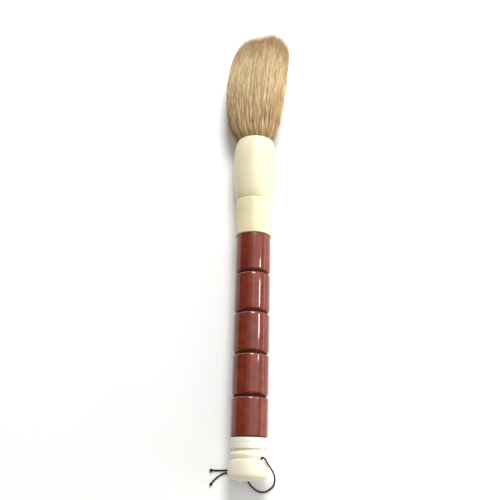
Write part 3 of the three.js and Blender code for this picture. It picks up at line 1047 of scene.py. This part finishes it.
@dataclass
class Ferrule:
    """Cream collar and the barrel-shaped cup that the hair is set in."""

    sides: int = 128
    rod_bore_mm: float = 4.3
    spigot_mm: float = 7.0
    fit_mm: float = 0.3
    mouth_mm: float = 12.6
    belly_above_foot_mm: float = 29.5
    floor_above_foot_mm: float = 18.7
    seam_mm: float = 0.25  # how far the collar reaches into the cement seam

    def collar(self, axis: BrushAxis) -> bpy.types.Object:
        """Turns the collar, bored for the rod and for the cup's spigot.

        Args:
            axis: the brush's axis.

        Returns:
            The new piece.
        """
        span = axis.span("ferrule_collar")
        r, low, high = span.radius, span.low - self.seam_mm, span.high
        socket = high - 6.85
        rings = [(self.rod_bore_mm, low), (r - 2.5, low), (r - 0.5, low)]
        rings += curve_points(rings[-1], (r, low), (r, low + 0.5), 5)
        rings += straight_points(rings[-1], (r, high - 1.8), 4)
        rings += curve_points(rings[-1], (r, high - 0.5), (r - 0.9, high), 8)
        rings += [(self.spigot_mm + self.fit_mm, high), (self.spigot_mm + self.fit_mm, socket)]
        rings += [(self.rod_bore_mm, socket)]
        return turn("ferrule_collar_turned", rings, axis, self.sides)

    def cup(self, axis: BrushAxis) -> bpy.types.Object:
        """Turns the cup from its spigot round the belly and lip to the floor inside.

        Args:
            axis: the brush's axis.

        Returns:
            The new piece.
        """
        span = axis.span("ferrule_cup")
        foot = axis.span("ferrule_collar").high + self.fit_mm
        belly = foot + self.belly_above_foot_mm - 0.15
        lip = span.high
        rings = [(self.rod_bore_mm, foot + 11.8), (self.rod_bore_mm, span.low)]
        rings += [(self.spigot_mm, span.low), (self.spigot_mm, foot), (12.0, foot)]
        rings += curve_points(rings[-1], (13.1, foot + 2.2), (13.7, foot + 5.2), 8)
        rings += curve_points(rings[-1], (span.radius, foot + 15.8), (span.radius, belly), 12)
        rings += curve_points(rings[-1], (span.radius, lip - 8.4), (14.3, lip - 3.7), 10)
        rings += curve_points(rings[-1], (13.5, lip - 0.1), (self.mouth_mm + 0.3, lip), 9)
        rings += curve_points(rings[-1], (self.mouth_mm, lip), (self.mouth_mm, lip - 0.4), 3)
        floor = foot + self.floor_above_foot_mm
        rings += [(10.6, floor + 2), (9.2, floor)]
        return turn("ferrule_cup_turned", rings, axis, self.sides)

    def build(self, axis: BrushAxis) -> None:
        """Makes both pieces and dresses them.

        Args:
            axis: the brush's axis.
        """
        cream = TurnedBone("buffed_cream_bone", "e4dab7", "dcd0a8", "ccb98c").build()
        fit_to_handle(self.collar(axis), ("ferrule_collar",), cream)
        fit_to_handle(self.cup(axis), ("ferrule_cup",), cream)


# ---- Tail: end cap and tail collar --------------------------------------------------------------


@dataclass
class TailFitting:
    """Pale collar under the last bead, and the end cap with its waist, ring and cross hole."""

    sides: int = 128
    rod_bore_mm: float = 4.3
    spigot_mm: float = 7.0
    fit_mm: float = 0.3
    face_mm: float = 5.5
    waist_mm: float = 11.3
    ring_mm: float = 12.45
    groove_mm: float = 10.7
    shoulder_mm: float = 12.6
    widest_mm: float = 7.5
    collar_start_mm: float = 19.3
    hole_station_mm: float = 13.7
    hole_radius_mm: float = 1.1
    hole_angle_deg: float = 46.0
    engraved_line_mm: float = 3.9

    def collar(self, axis: BrushAxis) -> bpy.types.Object:
        """Turns the tail collar with its engraved line.

        Args:
            axis: the brush's axis.

        Returns:
            The new piece.
        """
        span = axis.span("tail_collar")
        r, low, high = span.radius, span.low, span.high
        line = self.collar_start_mm + self.engraved_line_mm
        rings = [(self.spigot_mm + self.fit_mm, low), (r - 0.4, low)]
        rings += curve_points(rings[-1], (r, low), (r, low + 0.4), 5)
        rings += [(r, line - 0.35)]
        rings += curve_points(rings[-1], (r - 0.4, line), (r, line + 0.35), 6)
        rings += [(r, high - 0.4)]
        rings += curve_points(rings[-1], (r, high), (r - 0.4, high), 4)
        rings += [(self.spigot_mm + self.fit_mm, high)]
        rings += [(self.spigot_mm + self.fit_mm, (low + high) / 2)]
        return turn("tail_collar_turned", rings, axis, self.sides)

    def cap(self, axis: BrushAxis) -> bpy.types.Object:
        """Turns the end cap from its flat face over the dome, waist, ring and groove.

        Args:
            axis: the brush's axis.

        Returns:
            The new piece, without its cross hole.
        """
        span = axis.span("end_cap")
        r, shoulder, hole = span.radius, self.shoulder_mm, self.hole_station_mm
        start = self.collar_start_mm
        rings = [(self.face_mm * 0.4, 0), (self.face_mm, 0)]
        rings += curve_points(rings[-1], (8.8, 0.35), (11.9, 2.0), 8)
        rings += curve_points(rings[-1], (r - 0.1, 2.8), (r - 0.05, 4.8), 8)
        rings += [(r, self.widest_mm)]
        rings += straight_points(rings[-1], (r - 0.4, shoulder - 0.4), 2)
        rings += curve_points(rings[-1], (r - 0.45, shoulder), (r - 0.9, shoulder), 5)
        rings += curve_points(rings[-1], (self.waist_mm, shoulder), (self.waist_mm, hole - 0.5), 5)
        rings += curve_points(rings[-1], (self.ring_mm - 0.15, 14.6), (self.ring_mm, 15.7), 7)
        rings += curve_points(rings[-1], (self.ring_mm, 17.4), (self.ring_mm - 1, 17.6), 9)
        rings += curve_points(rings[-1], (self.groove_mm, 17.65), (self.groove_mm, 18.3), 5)
        seat = start + 0.27  # meets the collar, so that no black gap shows
        rings += [(self.groove_mm, seat), (self.spigot_mm, seat), (self.spigot_mm, span.high)]
        rings += [(self.rod_bore_mm, span.high), (self.rod_bore_mm, start - 1.8)]
        return turn("end_cap_turned", rings, axis, self.sides)

    def drill(self, cap: bpy.types.Object, axis: BrushAxis) -> None:
        """Cuts the cross hole through the end cap's waist.

        Args:
            cap: the end cap.
            axis: the brush's axis.
        """
        deselect_everything()
        bpy.ops.mesh.primitive_cylinder_add(
            vertices=32, radius=self.hole_radius_mm * MM, depth=40 * MM
        )
        cutter = bpy.context.active_object
        lean = Matrix.Rotation(math.radians(self.hole_angle_deg), 4, "Y")
        cutter.matrix_world = Matrix.Translation(axis.point(0, self.hole_station_mm, 0)) @ lean
        deselect_everything()
        cap.select_set(True)
        bpy.context.view_layer.objects.active = cap
        cut = cap.modifiers.new("cross_hole", "BOOLEAN")
        cut.operation = "DIFFERENCE"
        cut.solver = "EXACT"
        cut.object = cutter
        bpy.ops.object.modifier_apply(modifier=cut.name)
        bpy.data.objects.remove(cutter)
        bpy.ops.object.shade_smooth_by_angle(angle=math.radians(40))

    def build(self, axis: BrushAxis) -> None:
        """Makes both pieces and dresses them.

        Args:
            axis: the brush's axis.
        """
        cream = TurnedBone("buffed_cream_bone_cap", "eee6d0", "e7ddc4", "d6c6a4").build()
        pale = TurnedBone("buffed_pale_bone", "ebe6d6", "e4dec9", "d6cbae").build()
        cap = self.cap(axis)
        self.drill(cap, axis)
        fit_to_handle(cap, ("end_cap",), cream)
        fit_to_handle(self.collar(axis), ("tail_collar",), pale)


# ---- Hair ---------------------------------------------------------------------------------------


def smooth_through(knots: Sequence[float], values: Sequence[float], at: np.ndarray) -> np.ndarray:
    """Reads a smooth curve through a few knots.

    Args:
        knots: rising positions.
        values: the curve's value at each knot.
        at: positions to read, held to the first and last knot.

    Returns:
        The curve's values there.
    """
    x, y = np.array(knots, float), np.array(values, float)
    slopes = np.gradient(y, x)
    at = np.clip(at, x[0], x[-1])
    i = np.clip(np.searchsorted(x, at, side="right") - 1, 0, len(x) - 2)
    span = x[i + 1] - x[i]
    t = (at - x[i]) / span
    return (
        (2 * t**3 - 3 * t**2 + 1) * y[i]
        + (t**3 - 2 * t**2 + t) * span * slopes[i]
        + (3 * t**2 - 2 * t**3) * y[i + 1]
        + (t**3 - t**2) * span * slopes[i + 1]
    )


@dataclass
class HairLayer:
    """One layer of the tuft: how deep its strands lie and how many pieces hold them."""

    name: str
    node: str
    inner: float
    outer: float
    pieces: int
    strands: int  # in each piece
    finish: GoatHair
    slot: Slot


@dataclass(frozen=True)
class Locks:
    """Small locks that the hairs gather in, each with its own place, waves, reach and tone."""

    places: np.ndarray
    wave: np.ndarray
    length_mm: np.ndarray
    phase: np.ndarray
    reach_mm: np.ndarray
    tone: np.ndarray

    @classmethod
    def scattered(cls, count: int, sway: float, seed: int) -> "Locks":
        """Scatters locks over the unit circle.

        Args:
            count: how many locks.
            sway: how far they wave, as a share of the tuft's half width.
            seed: seed of chance.

        Returns:
            The locks.
        """
        rng = np.random.default_rng(seed)
        depth, turned = np.sqrt(rng.random(count)), rng.uniform(0, 2 * np.pi, count)
        return cls(
            np.stack([depth * np.cos(turned), depth * np.sin(turned)], axis=1),
            rng.normal(0, sway, (count, 2)),
            rng.uniform(24, 46, count),
            rng.uniform(0, 2 * np.pi, count),
            rng.normal(0, 0.9, count),
            rng.random(count),
        )

    def nearest(self, places: np.ndarray) -> np.ndarray:
        """Number of the lock nearest to each place."""
        squares = ((places[:, None, :] - self.places[None]) ** 2).sum(axis=2)
        return squares.argmin(axis=1)


@dataclass
class Tuft:
    """Thousands of tapered hairs in small locks, laid out inside the fluffed-out tuft."""

    seed: int = 7
    lock_count: int = 2600
    rings: int = 10
    strand_mm: float = 0.22  # real goat hair is about a quarter of this; drawn coarser to show
    depth_in_mouth_mm: float = 2.0
    lock_sway: float = 0.014
    own_sway: float = 0.013
    end_splay: float = 0.035
    gather_at_root: float = 0.1
    gather_more_at_tip: float = 0.3
    end_rounding_mm: float = 7.0
    longest_stray_mm: float = 5.0
    table_gap_mm: float = 0.3
    pile_mm: float = 1.6  # how thick the hairs pile up that the table presses
    pile_reach_mm: float = 4.0
    bend_over_mm: float = 45.0  # stretch beyond the mouth over which the hair bends
    tip_spread_mm: float = 2.2
    stray_share: float = 0.2
    stray_mm: float = 2.6
    # Left edge, right edge and half thickness at distances beyond the mouth, in mm.
    stations: tuple[float, ...] = (-3, 0, 3, 9, 18, 27, 40, 52, 64, 75, 84, 94)
    left: tuple[float, ...] = (
        -12.2, -12.3, -14.6, -18.5, -20.9, -22.1, -22.7, -22.1, -20.4, -17.9, -16, -14
    )
    right: tuple[float, ...] = (
        12.2, 12.3, 13.5, 15.9, 17.7, 18.9, 20.8, 22.3, 23.6, 24.4, 24.8, 25
    )
    thick: tuple[float, ...] = (
        12.1, 12.2, 12.8, 13.9, 15.1, 15.9, 16.4, 16.4, 15.8, 14.6, 13.3, 12
    )
    # Where hairs end, beyond the mouth, against their place from the left edge (-1) to the right.
    tip_places: tuple[float, ...] = (-1, -0.86, -0.64, -0.2, 0.23, 0.45, 0.67, 0.78, 0.89, 1)
    tip_ends: tuple[float, ...] = (72, 79.5, 83, 85.5, 87.5, 88, 86, 84, 81.5, 76)
    # The middle body: how much of the tuft's width it fills at distances beyond the mouth.
    heart_stations: tuple[float, ...] = (
        -9, -6, -3, 0, 3, 8, 14, 22, 32, 44, 54, 62, 68, 73, 76
    )
    heart_fill: tuple[float, ...] = (
        0.5, 0.75, 0.85, 0.88, 0.84, 0.8, 0.78, 0.78, 0.78, 0.78, 0.78, 0.74, 0.62, 0.4, 0.12
    )
    heart_sides: int = 48
    layers: tuple[HairLayer, ...] = field(
        default_factory=lambda: (
            HairLayer(
                "cover_hair_strands", "cover_hair", 0.62, 1.0, 7, 3000,
                GoatHair("cover_goat_hair", "b98f58", "dabc88", "a8742f", "4e3115", "fae8bc"),
                Slot.COVER_HAIR,
            ),
            HairLayer(
                "core_hair_strands", "core_hair", 0.0, 0.66, 1, 3000,
                GoatHair("core_goat_hair", "a07c4c", "c3a170", "a5763a", "54391f", "dcc398"),
                Slot.CORE_HAIR,
            ),
        )
    )

    def shaped(
        self, u: np.ndarray, w: np.ndarray, beyond: np.ndarray, axis: BrushAxis
    ) -> np.ndarray:
        """Takes places in a unit circle to the tuft's shape, flattened where it lies on the table.

        Args:
            u: places across, from -1 to 1.
            w: places up, from -1 to 1.
            beyond: distances beyond the mouth, in mm.
            axis: the brush's axis.

        Returns:
            Points in the row frame, in metres, with one more dimension than the places.
        """
        left = smooth_through(self.stations, self.left, beyond)
        right = smooth_through(self.stations, self.right, beyond)
        thick = smooth_through(self.stations, self.thick, beyond)
        station = axis.mouth + beyond
        up = thick * w
        # Hairs pressed on the table pile up over each other instead of lying in one sheet.
        table = self.table_gap_mm - axis.height(station)
        press = np.maximum(table - up, 0)
        piled = table + self.pile_mm * (1 - np.exp(-press / self.pile_reach_mm))
        up = np.where(press > 0, piled, up)
        local = np.stack([(left + right) / 2 + (right - left) / 2 * u, station, up], axis=-1)
        return axis.points(local.reshape(-1, 3)).reshape(local.shape)

    def tip(self, places: np.ndarray) -> np.ndarray:
        """Finds how far beyond the mouth hairs end.

        Args:
            places: the hairs' places in the unit circle.

        Returns:
            One distance for each hair, in mm.
        """
        u, w = places[:, 0], places[:, 1]
        shrink = np.sqrt(np.clip(1 - 0.8 * w * w, 0.2, 1))
        ends = np.interp(np.clip(u / shrink, -1, 1), self.tip_places, self.tip_ends)
        return ends - self.end_rounding_mm * w**4

    def paths(
        self, places: np.ndarray, lock: np.ndarray, locks: Locks, beyond: np.ndarray,
        rng: np.random.Generator,
    ) -> np.ndarray:
        """Runs hairs through the unit circle, gathered in their locks and waving a little.

        Args:
            places: where the hairs start, of shape (n, 2).
            lock: each hair's lock.
            locks: the locks.
            beyond: distances beyond the mouth of the hairs' rings, of shape (n, rings).
            rng: source of chance.

        Returns:
            Places of the rings, of shape (n, rings, 2).
        """
        n = len(places)
        gather = (self.gather_at_root + self.gather_more_at_tip * np.clip(beyond / 90, 0, 1))[:, :, None]
        centre = locks.places[lock][:, None, :]
        held = places[:, None, :] + gather * (centre - places[:, None, :])
        loose = np.clip(beyond / 25, 0, 1)[:, :, None]
        turn_of_lock = 2 * np.pi * beyond / locks.length_mm[lock][:, None]
        turn_of_lock += locks.phase[lock][:, None]
        held += loose * locks.wave[lock][:, None, :] * np.sin(turn_of_lock)[:, :, None]
        own_turn = 2 * np.pi * beyond / rng.uniform(14, 34, (n, 1)) + rng.uniform(0, 6.3, (n, 1))
        held += loose * rng.normal(0, self.own_sway, (n, 1, 2)) * np.sin(own_turn)[:, :, None]
        end_part = np.clip((np.linspace(0, 1, self.rings) - 0.8) / 0.2, 0, 1)[None, :, None]
        held += rng.normal(0, self.end_splay, (n, 1, 2)) * end_part**2
        reach = np.linalg.norm(held, axis=2, keepdims=True)
        limit = np.where(beyond < 3, 0.985, 1.02)[:, :, None]
        return held * np.minimum(1, limit / np.maximum(reach, 1e-6))

    def strands(
        self, layer: HairLayer, number: int, locks: Locks, axis: BrushAxis
    ) -> bpy.types.Object:
        """Makes one piece of a layer.

        Args:
            layer: the layer.
            number: which of its pieces this is, from 0.
            locks: the tuft's locks.
            axis: the brush's axis.

        Returns:
            The new piece: closed three-sided tapered hairs.
        """
        rng = np.random.default_rng((self.seed, number, int(100 * layer.outer)))
        n, k = layer.strands, self.rings
        depth = np.sqrt(rng.uniform(layer.inner**2, layer.outer**2, n))
        turned = rng.uniform(0, 2 * np.pi, n)
        places = np.stack([depth * np.cos(turned), depth * np.sin(turned)], axis=1)
        lock = locks.nearest(places)

        end = self.tip(places) + locks.reach_mm[lock] + rng.normal(0, self.tip_spread_mm, n)
        # A few single hairs stand out past the rest.
        stray = rng.random(n) < self.stray_share
        further = np.minimum(rng.exponential(self.stray_mm, n), self.longest_stray_mm)
        end += np.where(stray, further, 0)
        start = -self.depth_in_mouth_mm - 0.6 * rng.random(n)
        share = np.linspace(0, 1, k) ** 0.9
        beyond = start[:, None] + (end - start)[:, None] * share[None, :]
        route = self.paths(places, lock, locks, beyond, rng)
        centre = self.shaped(route[..., 0], route[..., 1], beyond, axis)

        taper = np.interp(share, [0, 0.1, 0.6, 0.85, 1], [0.8, 1, 1, 0.75, 0.12])
        radius = self.strand_mm / 2 * MM * taper[None, :] * rng.uniform(0.7, 1.25, (n, 1))
        spin = rng.uniform(0, 2 * np.pi, (n, 1, 1)) + 2 * np.pi * np.arange(3) / 3
        around = np.cos(spin)[..., None] * np.array(axis.across)
        around = around + np.sin(spin)[..., None] * np.array(axis.up)
        points = (centre[:, :, None, :] + radius[:, :, None, None] * around).reshape(-1, 3)

        first = 3 * np.arange(n * k).reshape(n, k)
        here, there = first[:, :-1, None], first[:, 1:, None]
        side, following = np.arange(3), (np.arange(3) + 1) % 3
        walls = np.stack([here + side, there + side, there + following, here + following], -1)
        roots = first[:, :1] + np.array([0, 1, 2])
        tips = first[:, -1:] + np.array([2, 1, 0])
        faces = walls.reshape(-1, 4).tolist() + roots.tolist() + tips.tolist()
        ring = np.ones((n, k, 3))
        attributes = {
            "along": np.clip(beyond / HAIR_REACH_MM, 0, 1)[:, :, None] * ring,
            "tone": rng.random((n, 1, 1)) * ring,
            "lock": locks.tone[lock][:, None, None] * ring,
        }
        return mesh_piece(f"{layer.name}_{number + 1}", points, faces, attributes)

    def heart(self, axis: BrushAxis) -> bpy.types.Object:
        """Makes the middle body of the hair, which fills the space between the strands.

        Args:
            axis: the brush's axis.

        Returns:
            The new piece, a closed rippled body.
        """
        stations, fill = np.array(self.heart_stations), np.array(self.heart_fill)
        sides = self.heart_sides
        angles = 2 * np.pi * np.arange(sides) / sides
        ripple = 1 + 0.03 * np.sin(9 * angles) + 0.02 * np.sin(17 * angles + 1)
        u, w = (fill[:, None] * wave * ripple for wave in (np.cos(angles), np.sin(angles)))
        beyond = np.repeat(stations[:, None], sides, axis=1)
        points = self.shaped(u, w, beyond, axis).reshape(-1, 3)
        first = sides * np.arange(len(stations) - 1)[:, None]
        here, following = first + np.arange(sides), first + (np.arange(sides) + 1) % sides
        walls = np.stack([here, here + sides, following + sides, following], -1).reshape(-1, 4)
        low_end = list(range(sides))
        high_end = list(reversed(range(len(points) - sides, len(points))))
        attributes = {
            "along": np.clip(beyond / HAIR_REACH_MM, 0, 1),
            "tone": np.full_like(beyond, 0.3),
            "lock": np.full_like(beyond, 0.15),
        }
        faces = walls.tolist() + [low_end, high_end]
        return mesh_piece("core_hair_heart", points, faces, attributes)

    def build(self, axis: BrushAxis) -> None:
        """Makes every layer, dresses its pieces and bakes them in place.

        Args:
            axis: the brush's axis.
        """
        locks = Locks.scattered(self.lock_count, self.lock_sway, self.seed)
        for layer in self.layers:
            finish = layer.finish.build()
            made = [self.strands(layer, number, locks, axis) for number in range(layer.pieces)]
            if layer.node == "core_hair":
                made.append(self.heart(axis))
            for piece in made:
                hand_over(piece, (layer.node,), finish)
                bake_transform(piece)


# ---- Inner parts that keep their CAD shape ------------------------------------------------------


@dataclass(frozen=True)
class InnerParts:
    """Rod, cement, rosin, hair root and binding, which stay as the CAD made them."""

    def build(self) -> None:
        """Gives each inner part its finish."""
        # Cement is near black and gritty, and makes the thin dark line in every seam.
        cement = GrainedSolid("dark_cement", "1c0f0b", "3a211a", 0.6, 0.6, 0.7).build()
        finishes = {
            # Pale straight-grained wood, dull from the lathe.
            "core_rod": GrainedSolid("birch_dowel", "b98d58", "dcb884", 0.5, 12, 0.6),
            # Amber-brown melted resin, set smooth and glossy.
            "rosin_plug": GrainedSolid("melted_pine_rosin", "552a0c", "8a4d1b", 3, 3, 0.25, 0.1),
            # Hair glued to a stiff brown bundle.
            "hair_root": GrainedSolid("glued_goat_hair", "5e4220", "a98350", 0.3, 8, 0.7, 0.6),
            # Off-white thread, fuzzy and dull.
            "binding_thread": GrainedSolid("cotton_thread", "cdbf9c", "efe6cc", 0.15, 0.6, 0.85),
        }
        for node, finish in finishes.items():
            self.assign(node, finish.build())
        for node in frame["nodes"]:
            if node.startswith("cement_"):
                self.assign(node, cement)

    def assign(self, node: str, material: bpy.types.Material) -> None:
        """Puts a material on a CAD node.

        Args:
            node: name of the node.
            material: its one material.
        """
        mesh = frame["nodes"][node].data
        mesh.materials.clear()
        mesh.materials.append(material)


# ---- Everything in order ------------------------------------------------------------------------


def main() -> None:
    """Builds the scene."""
    logging.basicConfig(level=logging.INFO, format="%(name)s: %(message)s")
    axis = BrushAxis.from_frame()
    Viewpoint().build(axis)
    HangingCord().build(axis)
    BeadString().build(axis)
    Ferrule().build(axis)
    TailFitting().build(axis)
    Tuft().build(axis)
    InnerParts().build()
    Studio().build()


if __name__ == "__main__":
    main()
